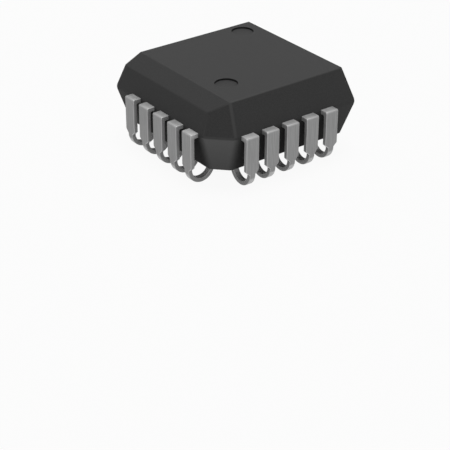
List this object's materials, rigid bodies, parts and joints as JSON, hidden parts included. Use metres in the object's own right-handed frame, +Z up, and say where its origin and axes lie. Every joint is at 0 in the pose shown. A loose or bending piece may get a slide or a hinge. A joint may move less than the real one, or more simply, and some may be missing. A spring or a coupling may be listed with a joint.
{
  "type": "plastic leaded chip carrier",
  "caption": "Square surface-mount chip package: a dark moulded body with one bevelled side, one cut corner and J-shaped leads curled in under all four sides.",
  "frame": {"origin": "centre of the seating plane that the J leads stand on", "axes": "+Z up through the body, -Y out of the bevelled pin-1 side, with the cut pin-1 corner at +X and -Y"},
  "size_m": [0.0098, 0.0098, 0.0046],
  "materials": {
    "moulding_compound": "dark charcoal moulded epoxy, matte",
    "tinned_lead": "matte tin plating with faint drawn streaks",
    "bare_leadframe": "bare copper alloy, sealed in the body",
    "die_adhesive": "silver-filled epoxy, sealed in the body",
    "silicon": "polished silicon, sealed in the body",
    "gold_wire": "gold bond wire, sealed in the body"
  },
  "bodies": {
    "root": {"moulded_body": "moulding_compound", "lead_01": "tinned_lead", "lead_02": "tinned_lead", "lead_03": "tinned_lead", "lead_04": "tinned_lead", "lead_05": "tinned_lead", "lead_06": "tinned_lead", "lead_07": "tinned_lead", "lead_08": "tinned_lead", "lead_09": "tinned_lead", "lead_10": "tinned_lead", "lead_11": "tinned_lead", "lead_12": "tinned_lead", "lead_13": "tinned_lead", "lead_14": "tinned_lead", "lead_15": "tinned_lead", "lead_16": "tinned_lead", "lead_17": "tinned_lead", "lead_18": "tinned_lead", "lead_19": "tinned_lead", "lead_20": "tinned_lead", "die_paddle": "bare_leadframe", "die_attach": "die_adhesive", "silicon_die": "silicon", "bond_wire_01": "gold_wire", "bond_wire_02": "gold_wire", "bond_wire_03": "gold_wire", "bond_wire_04": "gold_wire", "bond_wire_05": "gold_wire", "bond_wire_06": "gold_wire", "bond_wire_07": "gold_wire", "bond_wire_08": "gold_wire", "bond_wire_09": "gold_wire", "bond_wire_10": "gold_wire", "bond_wire_11": "gold_wire", "bond_wire_12": "gold_wire", "bond_wire_13": "gold_wire", "bond_wire_14": "gold_wire", "bond_wire_15": "gold_wire", "bond_wire_16": "gold_wire", "bond_wire_17": "gold_wire", "bond_wire_18": "gold_wire", "bond_wire_19": "gold_wire", "bond_wire_20": "gold_wire"}
  },
  "joints": []
}
